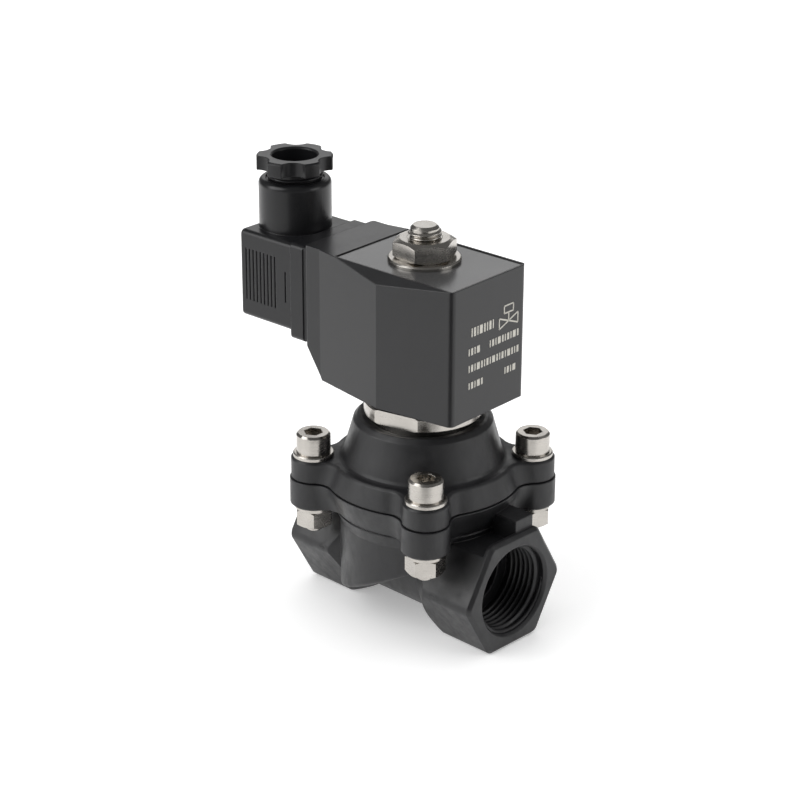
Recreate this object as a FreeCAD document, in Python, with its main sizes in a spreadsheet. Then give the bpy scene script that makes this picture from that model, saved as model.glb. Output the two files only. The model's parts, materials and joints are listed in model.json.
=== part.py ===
import FreeCAD, Part
import math
import os
import re
import Sketcher

# A two-way, normally closed solenoid valve with a moulded nylon body.
# Frame: millimetres, +X along the flow to the outlet port, +Z up the armature tube.
# The origin is the point where the flow axis crosses the armature axis.

DIMENSIONS = {
    # ports and hexagonal port ends
    "body_length": 73.4, "hex_flats": 34.5, "hex_corner_radius": 3.0, "hex_face_edge": 1.0,
    "outlet_neck_end": 11.5, "outlet_hex_start": 19.2, "inlet_neck_end": 13.4,
    "inlet_hex_start": 20.8, "neck_radius": 14.3,
    "thread_radius": 13.22, "thread_end": 21.5, "mouth_radius": 14.0, "mouth_depth": 0.8,
    "bore_radius": 9.5,
    # chamber under the flange
    "chamber_outer": 24.1, "chamber_inner": 20.3, "chamber_slope": 0.52,
    "chamber_bottom": -3.1, "chamber_floor": 0.6, "duct_outer": 12.0, "duct_start": -12.6,
    "seat_outer": 11.7, "seat_top": 20.4,
    # flange pair
    "body_flange_bottom": 16.2, "parting": 24.7, "bonnet_flange_top": 31.5,
    "flange_low_radius": 25.9, "flange_mid_radius": 29.0, "flange_top_radius": 26.6,
    "bolt_spacing": 45.0, "ear_radius": 7.0, "ear_blend": 6.0, "ear_hole": 3.3,
    "bonnet_inset": 0.4, "joint_gap": 0.35, "joint_land": 25.6, "flange_edge": 0.6,
    "undercut_wall": 22.4, "undercut_end": 34.6, "undercut_floor": 14.4, "undercut_half": 21.0,
    "pad_start": 1.7, "pad_end": 8.8, "pad_front": 35.0, "pad_top": 21.0,
    # bonnet dome
    "dome_base": 23.3, "dome_foot": 1.2, "dome_top_radius": 20.3, "dome_top": 44.6, "dome_lip": 18.2,
    "dome_recess": 43.5, "dome_thread": 12.0, "spring_ceiling": 36.0, "bonnet_cavity": 19.6,
    "bonnet_cavity_top": 32.6,
    # diaphragm set
    "web_drop": 0.3, "disc_skirt": 1.2, "disc_rounding": 0.2, "cup_floor": 1.2,
    "cup_window": 1.4, "cup_window_rise": 3.0,
    "rim_outer": 24.4, "rim_inner": 21.2, "rim_bottom": 22.7, "web_thickness": 1.3,
    "disc_radius": 13.2, "disc_thickness": 3.0, "stem_radius": 3.4, "upper_plate_radius": 12.4,
    "upper_plate_thickness": 1.5, "lower_plate_radius": 8.4, "lower_plate_thickness": 1.4,
    "pilot_radius": 1.25, "pilot_nose": 2.2, "pilot_top": 27.4, "pilot_head": 6.0,
    "pilot_head_thickness": 2.0, "cup_outer": 8.0, "cup_inner": 6.2, "cup_lip": 4.3,
    "cup_lip_bottom": 32.7, "cup_top": 34.2,
    # plunger, core and tube
    "plunger_edge": 0.8, "groove_radius": 1.2, "groove_offset": 0.4, "seal_edge": 0.4,
    "core_gap": 0.02,
    "plunger_radius": 6.72, "plunger_shoulder": 36.4, "plunger_top": 59.5, "plunger_neck": 3.6,
    "plunger_foot": 5.4, "plunger_foot_bottom": 28.0, "plunger_foot_top": 31.0,
    "seal_radius": 2.6, "seal_bottom": 27.5, "seal_top": 30.2, "spring_bore": 3.5,
    "spring_bore_bottom": 46.0, "core_face": 65.7, "core_bore_top": 70.0,
    "tube_inner": 6.8, "tube_outer": 8.0, "tube_top": 90.4, "core_shoulder": 91.4,
    "spigot_radius": 11.95, "spigot_bore": 8.6, "spigot_bore_top": 40.5,
    "collar_radius": 15.0, "collar_bottom": 43.5,
    "base_radius": 17.25, "base_flats": 31.5, "base_bottom": 45.6, "base_top": 49.9,
    "base_turn": 14.0, "shading_outer": 5.4, "shading_inner": 4.3, "shading_depth": 1.4,
    "stud_radius": 5.0, "stud_edge": 0.8, "stud_top": 102.1,
    # springs
    "plunger_wire": 0.8, "plunger_coil": 2.75, "diaphragm_wire": 1.1, "diaphragm_coil": 9.9,
    # coil
    "coil_bottom": 51.9, "coil_top": 91.9, "coil_front": 23.9, "coil_front_half": 15.9,
    "coil_mid": -1.0, "coil_mid_half": 19.35, "coil_rear": -27.0, "coil_pad_half": 14.6,
    "coil_pad": -32.7, "plug_face_bottom": 61.9, "chamfer_start": -26.2, "facet_bottom": 89.1,
    "coil_bore": 8.08, "coil_cavity": 15.2, "coil_edge_radius": 1.7,
    "plate_recess": 0.3, "plate_seam": 0.12, "yoke_thickness": 1.5,
    "yoke_rear": -19.8, "yoke_front": 23.2, "yoke_half": 15.3, "web_front": 21.3,
    "web_half": 12.0, "bobbin_flange": 14.9, "bobbin_wall": 9.6,
    "bobbin_flange_thickness": 1.5, "winding_radius": 14.3,
    # terminals and plug
    "terminal_screw_height": 1.6, "terminal_screw_offset": 7.0, "terminal_screw_rise": 6.5,
    "loose_gap": 0.3, "gasket_inset": 0.4, "slot_row_start": 2.15, "latch_slot_start": 2.7,
    "slot_low": 5.6, "slot_high": 21.6, "latch_slot_low": 8.4, "latch_slot_high": 18.0,
    "plug_axis": 77.2, "blade_width": 6.3, "blade_thickness": 0.8, "blade_spacing": 18.0,
    "blade_tip": -41.5, "blade_root": -28.5, "earth_drop": 8.6,
    "gasket_rear": -33.9, "skirt_rear": -38.8, "skirt_half": 14.4, "skirt_bottom": 61.4,
    "skirt_top": 91.0, "plug_rear": -59.5, "plug_half": 13.9, "plug_bottom": 63.5,
    "plug_top": 90.4, "plug_wall": 2.3, "plug_rear_wall": 4.0, "plug_corner": 1.6,
    "insert_rear": -49.0,
    # cable gland
    "gland_side_gap": 0.2, "gland_rim": 0.5,
    "gland_axis": -50.2, "gland_outer": 10.7, "gland_shoulder": 105.2, "gland_thread": 8.6,
    "gland_floor": 93.0, "gland_floor_hole": 7.0, "gland_seal_top": 99.0, "gland_seal_bore": 4.2,
    "gland_washer_top": 100.0, "gland_washer_bore": 5.6, "gland_nut_bore": 6.6,
    "gland_nut_shank": 8.52, "gland_head_bottom": 107.8, "gland_head_top": 112.0,
    "gland_head_radius": 11.2, "gland_scallop": 4.2, "gland_scallop_centre": 13.0,
    # hardware
    "tip_edge": 0.3, "head_edge": 0.6, "washer_edge": 0.3, "small_edge": 0.4,
    "screw_seat_gap": 0.4, "screw_slot_half": 0.4, "screw_slot_depth": 0.9,
    "insert_thread_end": 5.5, "plug_screw_reach": 5.0,
    "screw_radius": 3.0, "screw_head": 5.0, "screw_head_top": 38.7, "screw_tip": 7.7,
    "screw_socket": 5.0, "screw_socket_depth": 3.0, "washer_outer": 6.0, "washer_top": 32.7,
    "flange_nut_flats": 10.0, "flange_nut_bottom": 9.7, "lock_washer_outer": 5.5,
    "lock_washer_thickness": 1.4, "screw_root": 2.45, "stud_root": 4.1, "gland_root": 7.9,
    "coil_washer_outer": 10.5, "coil_washer_thickness": 1.2, "coil_nut_flats": 16.0,
    "coil_nut_height": 5.6, "coil_nut_face": 7.1,
    "plug_screw_radius": 1.5, "plug_screw_head": 3.0, "plug_screw_head_depth": 2.2,
    "terminal_screw_radius": 2.0,
    "fit_gap": 0.05, "chamber_edge": 1.6, "dome_edge": 1.3, "ring_depth": 1.8,
    "bleed_offset": 10.8, "bleed_radius": 0.6, "base_edge": 0.4, "seat_ring_outer": 11.5,
    "slot_depth": 0.4, "slot_width": 0.5, "slot_pitch": 1.46, "gland_edge": 1.7,
    "gland_turn": 11.4, "coil_nut_turn": -4.2, "coil_turn": 2.6, "flange_nut_turn": 44.0,
}

doc = FreeCAD.newDocument("solenoid_valve")
sheet = doc.addObject("Spreadsheet::Sheet", "Dimensions")
for row, (name, number) in enumerate(DIMENSIONS.items(), start=1):
    sheet.set(f"A{row}", name.replace("_", " "))
    sheet.set(f"B{row}", str(number))
    sheet.setAlias(f"B{row}", name)
doc.recompute()


def bound(text):
    """Turn dimension names in an expression into references to the sheet."""
    return re.sub(r"[a-z]\w*", lambda m: "Dimensions." + m[0] if m[0] in DIMENSIONS else m[0], text)


def value(text):
    """The present value of an expression of dimension names."""
    return float(sheet.evalExpression(text))


def plane_of(body, role):
    return next(f for f in body.Origin.OriginFeatures if f.Role == role)


class Piece:
    """One sub-part: a PartDesign body with sketches bound to the sheet."""

    def __init__(self, label):
        self.label = label
        self.body = doc.addObject("PartDesign::Body", label)
        self.body.Label = label
        self.last = None
        pieces.append(self)

    def sketch(self, plane, at=("0", "0", "0"), turn="0"):
        """An empty sketch on one of the body's own planes, moved by 'at' in the plane's axes."""
        sketch = self.body.newObject("Sketcher::SketchObject", self.label + "_sketch")
        sketch.AttachmentSupport = [(plane_of(self.body, plane), "")]
        sketch.MapMode = "FlatFace"
        for axis, text in zip("xyz", at):
            if text != "0":
                sketch.setExpression(f"AttachmentOffset.Base.{axis}", bound(text))
        if turn != "0":
            sketch.setExpression("AttachmentOffset.Rotation.Angle", bound(turn))
        return sketch

    def corners(self, sketch, points):
        """A closed polygon; each corner is a pair of expressions."""
        spots = [FreeCAD.Vector(value(a), value(b), 0) for a, b in points]
        count = len(points)
        first = sketch.GeometryCount
        for index in range(count):
            sketch.addGeometry(Part.LineSegment(spots[index], spots[(index + 1) % count]), False)
        for index in range(count):
            after = first + (index + 1) % count
            sketch.addConstraint(Sketcher.Constraint("Coincident", first + index, 2, after, 1))
        for index, pair in enumerate(points):
            self.place(sketch, first + index, 1, pair)
        return sketch

    def place(self, sketch, geometry, spot, pair):
        """Bind one sketch point to a pair of expressions."""
        for kind, axis, text in (("DistanceX", -2, pair[0]), ("DistanceY", -1, pair[1])):
            if text == "0":
                sketch.addConstraint(Sketcher.Constraint("PointOnObject", geometry, spot, axis))
            else:
                number = value(text)
                index = sketch.addConstraint(
                    Sketcher.Constraint(kind, -1, 1, geometry, spot, number))
                sketch.setExpression(f"Constraints[{index}]", bound(text))

    def rings(self, sketch, circles):
        """Circles given as (x, y, radius) expressions."""
        for x, y, radius in circles:
            circle = Part.Circle(FreeCAD.Vector(value(x), value(y), 0),
                                 FreeCAD.Vector(0, 0, 1), value(radius))
            index = sketch.addGeometry(circle, False)
            self.place(sketch, index, 3, (x, y))
            size = sketch.addConstraint(Sketcher.Constraint("Radius", index, value(radius)))
            sketch.setExpression(f"Constraints[{size}]", bound(radius))
        return sketch

    def feature(self, kind, sketch):
        feature = self.body.newObject("PartDesign::" + kind, self.label + "_" + kind.lower())
        feature.Profile = sketch
        self.last = feature
        return feature

    def turned(self, points, plane="XZ_Plane", axis="V_Axis", at=("0", "0", "0"), cut=False):
        """Revolve a polygon, adding material or cutting it."""
        sketch = self.corners(self.sketch(plane, at), points)
        feature = self.feature("Groove" if cut else "Revolution", sketch)
        feature.ReferenceAxis = (sketch, [axis])
        feature.Angle = 360
        return feature

    def extruded(self, sketch, length, cut=False, reverse=False):
        """Pad a sketch along its normal, or pocket it against its normal."""
        feature = self.feature("Pocket" if cut else "Pad", sketch)
        feature.setExpression("Length", bound(length))
        feature.Reversed = reverse
        return feature

    def block(self, x, y, z, cut=False):
        """A box between pairs of expressions, added or cut."""
        sketch = self.sketch("XY_Plane", ("0", "0", z[0]))
        self.corners(sketch, [(x[0], y[0]), (x[1], y[0]), (x[1], y[1]), (x[0], y[1])])
        return self.extruded(sketch, f"({z[1]}) - ({z[0]})", cut, reverse=cut)

    def post(self, x, y, radius, z, cut=False):
        """An upright cylinder between two levels, added or cut."""
        sketch = self.rings(self.sketch("XY_Plane", ("0", "0", z[0])), [(x, y, radius)])
        return self.extruded(sketch, f"({z[1]}) - ({z[0]})", cut, reverse=cut)

    def hexagon(self, sketch, flats, x="0", y="0", turn="0"):
        """A regular hexagon by its size across flats, with its first corner at 'turn' degrees."""
        corners = []
        for step in range(6):
            angle = f"{turn} + {60 * step}"
            corners.append((f"({x}) + ({flats}) / 2 / cos(30) * cos({angle})",
                            f"({y}) + ({flats}) / 2 / cos(30) * sin({angle})"))
        return self.corners(sketch, corners)

    def around(self, features, count, axis="Z_Axis"):
        """Repeat features about one of the body's axes."""
        pattern = self.body.newObject("PartDesign::PolarPattern", self.label + "_pattern")
        pattern.Originals = features
        pattern.Axis = (plane_of(self.body, axis), [""])
        pattern.Angle = 360
        pattern.Occurrences = count
        self.body.Tip = pattern
        self.last = pattern
        return pattern

    def row(self, feature, length, count):
        """Repeat a feature along the body's X axis."""
        pattern = self.body.newObject("PartDesign::LinearPattern", self.label + "_row")
        pattern.Originals = [feature]
        pattern.Direction = (plane_of(self.body, "X_Axis"), [""])
        pattern.setExpression("Length", bound(length))
        pattern.Occurrences = count
        self.body.Tip = pattern
        self.last = pattern
        return pattern

    def dressed(self, kind, size, wanted):
        """Fillet or chamfer the edges for which wanted(edge) holds."""
        doc.recompute()
        edges = [f"Edge{number}" for number, edge in enumerate(self.last.Shape.Edges, start=1)
                 if wanted(edge)]
        if not edges:
            raise ValueError(f"{self.label}: no edge to {kind.lower()}")
        base = self.last
        feature = self.body.newObject("PartDesign::" + kind, self.label + "_" + kind.lower())
        feature.Base = (base, edges)
        feature.setExpression("Radius" if kind == "Fillet" else "Size", bound(size))
        self.last = feature
        doc.recompute()
        return feature


PLATE_TOP = "coil_top - plate_recess"
pieces = []


def middle(edge):
    return edge.valueAt((edge.FirstParameter + edge.LastParameter) / 2)


def is_upright(edge):
    box = edge.BoundBox
    return box.ZLength > 1 and box.XLength < 0.01 and box.YLength < 0.01


def along_x(edge):
    box = edge.BoundBox
    return box.XLength > 1 and box.YLength < 0.01 and box.ZLength < 0.01


def lobed_outline(piece, level, circle_radius, ear_radius):
    """A round flange outline with four screw ears, each blended in by two hollow arcs."""
    sketch = piece.sketch("XY_Plane", ("0", "0", level))
    circle, ear, blend = value(circle_radius), value(ear_radius), value("ear_blend")
    half = value("bolt_spacing / 2")
    reach = math.hypot(half, half)
    swing = math.acos(((circle + blend) ** 2 + reach ** 2 - (ear + blend) ** 2)
                      / (2 * (circle + blend) * reach))

    def arc(centre, radius, start, end):
        shape = Part.Circle(centre, FreeCAD.Vector(0, 0, 1), radius)
        return sketch.addGeometry(Part.ArcOfCircle(shape, start, end), False)

    def heading(origin, target):
        return math.atan2(target.y - origin.y, target.x - origin.x)

    def polar(radius, angle):
        return FreeCAD.Vector(radius * math.cos(angle), radius * math.sin(angle), 0)

    rounds, blends, ears = [], [], []
    for quarter in range(4):
        diagonal = math.radians(45 + 90 * quarter)
        centre = polar(reach, diagonal)
        before = polar(circle + blend, diagonal - swing)
        after = polar(circle + blend, diagonal + swing)
        origin = FreeCAD.Vector(0, 0, 0)
        rounds.append(arc(origin, circle, diagonal - math.pi / 2 + swing, diagonal - swing))
        blends.append(arc(before, blend, heading(before, centre), heading(before, origin)))
        ears.append(arc(centre, ear, heading(centre, before), heading(centre, after)))
        blends.append(arc(after, blend, heading(after, origin), heading(after, centre)))
    for quarter in range(4):
        first, second = blends[2 * quarter], blends[2 * quarter + 1]
        follower = rounds[(quarter + 1) % 4]
        for one, spot_one, two, spot_two in (
                (rounds[quarter], 2, first, 2), (first, 1, ears[quarter], 1),
                (ears[quarter], 2, second, 2), (second, 1, follower, 1)):
            sketch.addConstraint(Sketcher.Constraint("Tangent", one, spot_one, two, spot_two))
        sketch.addConstraint(Sketcher.Constraint("Coincident", rounds[quarter], 3, -1, 1))
        signs = [("", ""), ("-", ""), ("-", "-"), ("", "-")][quarter]
        piece.place(sketch, ears[quarter], 3,
                    (signs[0] + "bolt_spacing / 2", signs[1] + "bolt_spacing / 2"))
    for group, size in ((rounds, circle_radius), (blends, "ear_blend"), (ears, ear_radius)):
        for other in group[1:]:
            sketch.addConstraint(Sketcher.Constraint("Equal", group[0], other))
        index = sketch.addConstraint(Sketcher.Constraint("Radius", group[0], value(size)))
        sketch.setExpression(f"Constraints[{index}]", bound(size))
    return sketch


def flange(piece, sections):
    """A lobed flange through sections given as (level, round radius, ear radius)."""
    outlines = [lobed_outline(piece, *section) for section in sections]
    loft = piece.feature("AdditiveLoft", outlines[0])
    loft.Sections = outlines[1:]
    loft.Ruled = True
    return loft


def screw_holes(piece, low, high):
    """Four clearance holes through the ears."""
    hole = piece.post("bolt_spacing / 2", "bolt_spacing / 2", "ear_hole", (low, high), cut=True)
    piece.around([hole], 4)


def set_turned(piece):
    """Turn a finished sub-part about the armature axis with the rest of the coil."""
    piece.body.Placement.Rotation.Axis = FreeCAD.Vector(0, 0, 1)
    piece.body.setExpression("Placement.Rotation.Angle", bound("coil_turn"))


def helper(label):
    """A body used only as a tool for another one."""
    piece = Piece(label)
    pieces.remove(piece)
    return piece


def combined(piece, kind, tool):
    """Fuse or cut the piece with a helper body."""
    boolean = piece.body.newObject("PartDesign::Boolean", piece.label + "_" + kind.lower())
    boolean.Type = kind
    boolean.setObjects([tool.body])
    piece.last = boolean
    return boolean


def sloped_cylinder(piece, radius, level, top):
    """An upright cylinder whose underside slopes down towards the inlet."""
    piece.post("0", "0", radius, ("-body_length / 4", top))
    sketch = piece.sketch("XZ_Plane", ("0", "0", "body_length / 2"))
    reach = "body_length / 2"
    low, high = f"{level} - {reach} * chamber_slope", f"{level} + {reach} * chamber_slope"
    piece.corners(sketch, [(f"-{reach}", f"-{reach}"), (reach, f"-{reach}"), (reach, high),
                           (f"-{reach}", low)])
    piece.extruded(sketch, "body_length", cut=True)


def make_undercuts(ports):
    """A hollow in the top of each hexagon beside the flange, with a rib left standing in it."""
    for side in ("", "-"):
        near, far, front = side + "undercut_wall", side + "undercut_end", side + "pad_front"
        ports.block((near, far), ("-undercut_half", "undercut_half"),
                    ("undercut_floor", "hex_flats / 2 + hex_face_edge"), cut=True)
        ports.block((near, front), ("pad_start", "pad_end"), ("undercut_floor", "pad_top"))


def make_port_ends():
    """Two hexagonal port ends joined by a round neck."""
    ports = helper("port_ends")
    sketch = ports.sketch("YZ_Plane", ("0", "0", "-body_length / 2"))
    ports.hexagon(sketch, "hex_flats")
    ports.extruded(sketch, "body_length")
    ports.dressed("Fillet", "hex_corner_radius", along_x)
    ports.dressed("Chamfer", "hex_face_edge", lambda edge: edge.BoundBox.XLength < 0.01)
    outer = "(hex_flats / 2 / cos(30))"
    beyond = f"({outer} + 3)"
    wide = [f"{side}_hex_start + 3 * ({side}_hex_start - {side}_neck_end) / ({outer} - neck_radius)"
            for side in ("inlet", "outlet")]
    ports.turned([("-inlet_neck_end", "neck_radius"), ("outlet_neck_end", "neck_radius"),
                  (wide[1], beyond), (f"-({wide[0]})", beyond)], axis="H_Axis", cut=True)
    make_undercuts(ports)
    return ports


def make_valve_body():
    piece = Piece("valve_body")
    void = helper("chamber_void")
    sloped_cylinder(void, "chamber_inner", "chamber_floor", "parting")
    ports = make_port_ends()
    sloped_cylinder(piece, "chamber_outer", "chamber_bottom", "body_flange_bottom")
    piece.dressed("Fillet", "chamber_edge", lambda edge: middle(edge).z < 0 and edge.Length > 50)
    flange(piece, [
        ("body_flange_bottom", "flange_low_radius - flange_edge", "ear_radius - flange_edge"),
        ("body_flange_bottom + flange_edge", "flange_low_radius", "ear_radius"),
        ("parting", "flange_mid_radius", "ear_radius")])
    piece.turned([("0", "body_flange_bottom - 4"), ("chamber_outer", "body_flange_bottom - 4"),
                  ("flange_low_radius", "body_flange_bottom"), ("0", "body_flange_bottom")])
    combined(piece, "Fuse", ports)
    combined(piece, "Cut", void)
    piece.post("0", "0", "seat_outer", ("chamber_bottom", "seat_top"))
    duct = piece.sketch("YZ_Plane")
    piece.extruded(piece.rings(duct, [("0", "0", "duct_outer")]), "thread_end")
    piece.post("0", "0", "bore_radius", ("0", "seat_top"), cut=True)
    for side, start in (("", "0"), ("-", "duct_start")):
        face = side + "body_length / 2"
        throat = side + "(body_length / 2 - mouth_depth)"
        piece.turned([(start, "0"), (start, "bore_radius"), (side + "thread_end", "bore_radius"),
                      (side + "thread_end", "thread_radius"), (throat, "thread_radius"),
                      (face, "mouth_radius"), (face, "0")], axis="H_Axis", cut=True)
    piece.turned([("0", "rim_bottom"), ("rim_outer + fit_gap", "rim_bottom"),
                  ("rim_outer + fit_gap", "parting"), ("0", "parting")], cut=True)
    screw_holes(piece, "0", "parting")


def make_bonnet():
    piece = Piece("bonnet")
    outer, ear = "flange_top_radius", "ear_radius - bonnet_inset"
    flange(piece, [
        ("parting + joint_gap", "flange_mid_radius - bonnet_inset", ear),
        ("bonnet_flange_top - flange_edge", outer, ear),
        ("bonnet_flange_top", outer + " - flange_edge", ear + " - flange_edge")])
    piece.turned([
        ("0", "parting"), ("joint_land", "parting"), ("joint_land", "parting + dome_foot"),
        ("dome_base + dome_foot", "bonnet_flange_top - dome_foot"),
        ("dome_base + dome_foot", "bonnet_flange_top"),
        ("dome_base + dome_foot / 3", "bonnet_flange_top + dome_foot / 3"),
        ("dome_base", "bonnet_flange_top + dome_foot"),
        ("dome_top_radius", "dome_top - dome_edge"),
        ("dome_top_radius - dome_edge", "dome_top"), ("dome_lip", "dome_top"),
        ("collar_radius + fit_gap", "dome_recess"), ("0", "dome_recess")])
    piece.turned([
        ("0", "parting"), ("bonnet_cavity", "parting"), ("bonnet_cavity", "bonnet_flange_top - 2"),
        ("bonnet_cavity - 3", "bonnet_cavity_top"), ("dome_thread", "bonnet_cavity_top"),
        ("dome_thread", "dome_recess - ring_depth"),
        ("dome_thread + ring_depth", "dome_recess - ring_depth"),
        ("dome_thread + ring_depth", "dome_recess"), ("0", "dome_recess")], cut=True)
    screw_holes(piece, "parting", "bonnet_flange_top")


def make_o_ring():
    piece = Piece("tube_o_ring")
    sketch = piece.sketch("XZ_Plane")
    piece.rings(sketch, [("dome_thread + ring_depth / 2 + fit_gap", "dome_recess - ring_depth / 2",
                          "ring_depth / 2 - fit_gap")])
    turn = piece.feature("Revolution", sketch)
    turn.ReferenceAxis = (sketch, ["V_Axis"])
    turn.Angle = 360


def make_diaphragm():
    """Rubber diaphragm: a thick seat disc, a thin flexing web and a clamped rim."""
    piece = Piece("diaphragm")
    web_top = "parting - web_drop"
    web_low = web_top + " - web_thickness"
    piece.turned([
        ("stem_radius", "seat_top"), ("disc_radius", "seat_top"),
        ("disc_radius + disc_skirt", web_low), ("rim_inner", web_low), ("rim_inner", "rim_bottom"),
        ("rim_outer", "rim_bottom"), ("rim_outer", "parting"), ("rim_inner", "parting"),
        ("rim_inner", web_top), ("disc_radius + disc_skirt + disc_rounding", web_top),
        ("disc_radius - disc_rounding", "seat_top + disc_thickness"),
        ("stem_radius", "seat_top + disc_thickness")])
    piece.post("bleed_offset", "0", "bleed_radius", ("seat_top", "parting"), cut=True)


def ring_piece(label, inner, outer, low, high):
    """A plain ring about the armature axis."""
    piece = Piece(label)
    piece.turned([(inner, low), (outer, low), (outer, high), (inner, high)])
    return piece


def make_diaphragm_set():
    disc_top = "seat_top + disc_thickness"
    upper = ring_piece("upper_plate", "stem_radius", "upper_plate_radius", disc_top,
                       disc_top + " + upper_plate_thickness")
    upper.post("bleed_offset", "0", "bleed_radius",
               (disc_top, disc_top + " + upper_plate_thickness"), cut=True)
    ring_piece("lower_plate", "stem_radius", "lower_plate_radius",
               "seat_top - lower_plate_thickness", "seat_top")
    insert = Piece("pilot_insert")
    shoulder = "seat_top - lower_plate_thickness"
    insert.turned([
        ("pilot_radius", shoulder + " - pilot_head_thickness"),
        ("pilot_head", shoulder + " - pilot_head_thickness"), ("pilot_head", shoulder),
        ("stem_radius - fit_gap", shoulder), ("stem_radius - fit_gap", "pilot_top - 1"),
        ("pilot_nose", "pilot_top"), ("pilot_radius", "pilot_top")])
    cup = Piece("lift_cup")
    base = disc_top + " + upper_plate_thickness"
    cup.turned([
        ("stem_radius", base), ("cup_outer", base), ("cup_outer", "cup_top"),
        ("cup_lip", "cup_top"), ("cup_lip", "cup_lip_bottom"), ("cup_inner", "cup_lip_bottom"),
        ("cup_inner", base + " + cup_floor"), ("stem_radius", base + " + cup_floor")])
    window = cup.sketch("YZ_Plane", ("0", "0", "-cup_outer - 1"))
    cup.rings(window, [("0", base + " + cup_window_rise", "cup_window")])
    cup.extruded(window, "2 * cup_outer + 2", cut=True, reverse=True)


def make_spring(label, coil_radius, wire, low, high, turns):
    """A coil spring with the given number of turns."""
    piece = Piece(label)
    sketch = piece.sketch("XZ_Plane")
    piece.rings(sketch, [(coil_radius, f"({low}) + {wire} / 2 + fit_gap", f"{wire} / 2")])
    helix = piece.feature("AdditiveHelix", sketch)
    helix.ReferenceAxis = (sketch, ["V_Axis"])
    helix.Mode = "height-turns-angle"
    helix.setExpression("Height", bound(f"({high}) - ({low}) - {wire} - 2 * fit_gap"))
    helix.Turns = turns
    return piece


def make_plunger():
    piece = Piece("plunger")
    piece.turned([
        ("0", "seal_top"), ("seal_radius", "seal_top"), ("seal_radius", "plunger_foot_bottom"),
        ("plunger_foot", "plunger_foot_bottom"), ("plunger_foot", "plunger_foot_top"),
        ("plunger_neck", "plunger_foot_top"), ("plunger_neck", "plunger_shoulder"),
        ("plunger_radius - plunger_edge", "plunger_shoulder"),
        ("plunger_radius", "plunger_shoulder + plunger_edge"),
        ("plunger_radius", "plunger_top - plunger_edge"),
        ("plunger_radius - plunger_edge", "plunger_top"),
        ("spring_bore", "plunger_top"), ("spring_bore", "spring_bore_bottom"),
        ("0", "spring_bore_bottom")])
    groove = piece.post("plunger_radius + groove_offset", "0", "groove_radius",
                        ("plunger_shoulder", "plunger_top"), cut=True)
    piece.around([groove], 3)
    seal = Piece("plunger_seal")
    seal.turned([("0", "seal_bottom"), ("seal_radius - seal_edge", "seal_bottom"),
                 ("seal_radius", "seal_bottom + seal_edge"), ("seal_radius", "seal_top"),
                 ("0", "seal_top")])


def make_fixed_core():
    piece = Piece("fixed_core")
    nut_top = PLATE_TOP + " + coil_washer_thickness + coil_nut_height"
    piece.turned([
        ("0", "core_bore_top"), ("spring_bore", "core_bore_top"), ("spring_bore", "core_face"),
        ("shading_inner", "core_face"), ("shading_inner", "core_face + shading_depth"),
        ("shading_outer", "core_face + shading_depth"), ("shading_outer", "core_face"),
        ("tube_inner - core_gap", "core_face"), ("tube_inner - core_gap", "tube_top"),
        ("tube_outer", "tube_top"), ("tube_outer", "core_shoulder"), ("stud_radius", "core_shoulder"),
        ("stud_radius", nut_top), ("stud_root", nut_top), ("stud_root", "stud_top - stud_edge"),
        ("stud_root - stud_edge", "stud_top"), ("0", "stud_top")])
    ring_piece("shading_ring", "shading_inner", "shading_outer", "core_face",
               "core_face + shading_depth")


def make_armature_tube():
    """Thin tube with a threaded spigot and a round base that has two spanner flats."""
    piece = Piece("armature_tube")
    piece.turned([
        ("tube_inner", "spigot_bore_top"), ("spigot_bore", "spigot_bore_top"),
        ("spigot_bore", "spring_ceiling"), ("spigot_radius", "spring_ceiling"),
        ("spigot_radius", "collar_bottom"), ("collar_radius", "collar_bottom"),
        ("collar_radius", "base_bottom"), ("base_radius - base_edge", "base_bottom"),
        ("base_radius", "base_bottom + base_edge"), ("base_radius", "base_top - base_edge"),
        ("base_radius - base_edge", "base_top"), ("tube_outer", "base_top"),
        ("tube_outer", "tube_top"), ("tube_inner", "tube_top")])
    sketch = piece.sketch("XY_Plane", ("0", "0", "base_bottom"), turn="base_turn")
    for side in ("", "-"):
        near, far = side + "base_flats / 2", side + "(base_radius + 2)"
        piece.corners(sketch, [("-base_radius - 2", near), ("base_radius + 2", near),
                               ("base_radius + 2", far), ("-base_radius - 2", far)])
    piece.extruded(sketch, "base_top - base_bottom", cut=True, reverse=True)


def yoke_blocks(piece, top, seam, cut):
    """The bent steel bracket: top plate, upright web and bottom plate."""
    thick = "yoke_thickness"
    piece.block((f"yoke_rear - {seam}", f"yoke_front + {seam}"),
                (f"-(yoke_half + {seam})", f"yoke_half + {seam}"),
                (f"{PLATE_TOP} - {thick}", top), cut)
    piece.block((f"web_front - {thick}", "web_front"), ("-web_half", "web_half"),
                ("coil_bottom", PLATE_TOP), cut)
    piece.block(("-web_half", "web_front"), ("-web_half", "web_half"),
                ("coil_bottom", f"coil_bottom + {thick}"), cut)


def blades(piece, clearance, start, end, cut=False):
    """Two contact blades and an earth blade, standing out of the coil's plug face."""
    wide, thin = f"(blade_width / 2 + {clearance})", f"(blade_thickness / 2 + {clearance})"
    for side in ("", "-"):
        centre = side + "blade_spacing / 2"
        piece.block((start, end), (f"{centre} - {thin}", f"{centre} + {thin}"),
                    (f"plug_axis - {wide}", f"plug_axis + {wide}"), cut)
    low = "plug_axis - earth_drop"
    piece.block((start, end), ("-" + wide, wide), (f"{low} - {thin}", f"{low} + {thin}"), cut)


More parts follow.
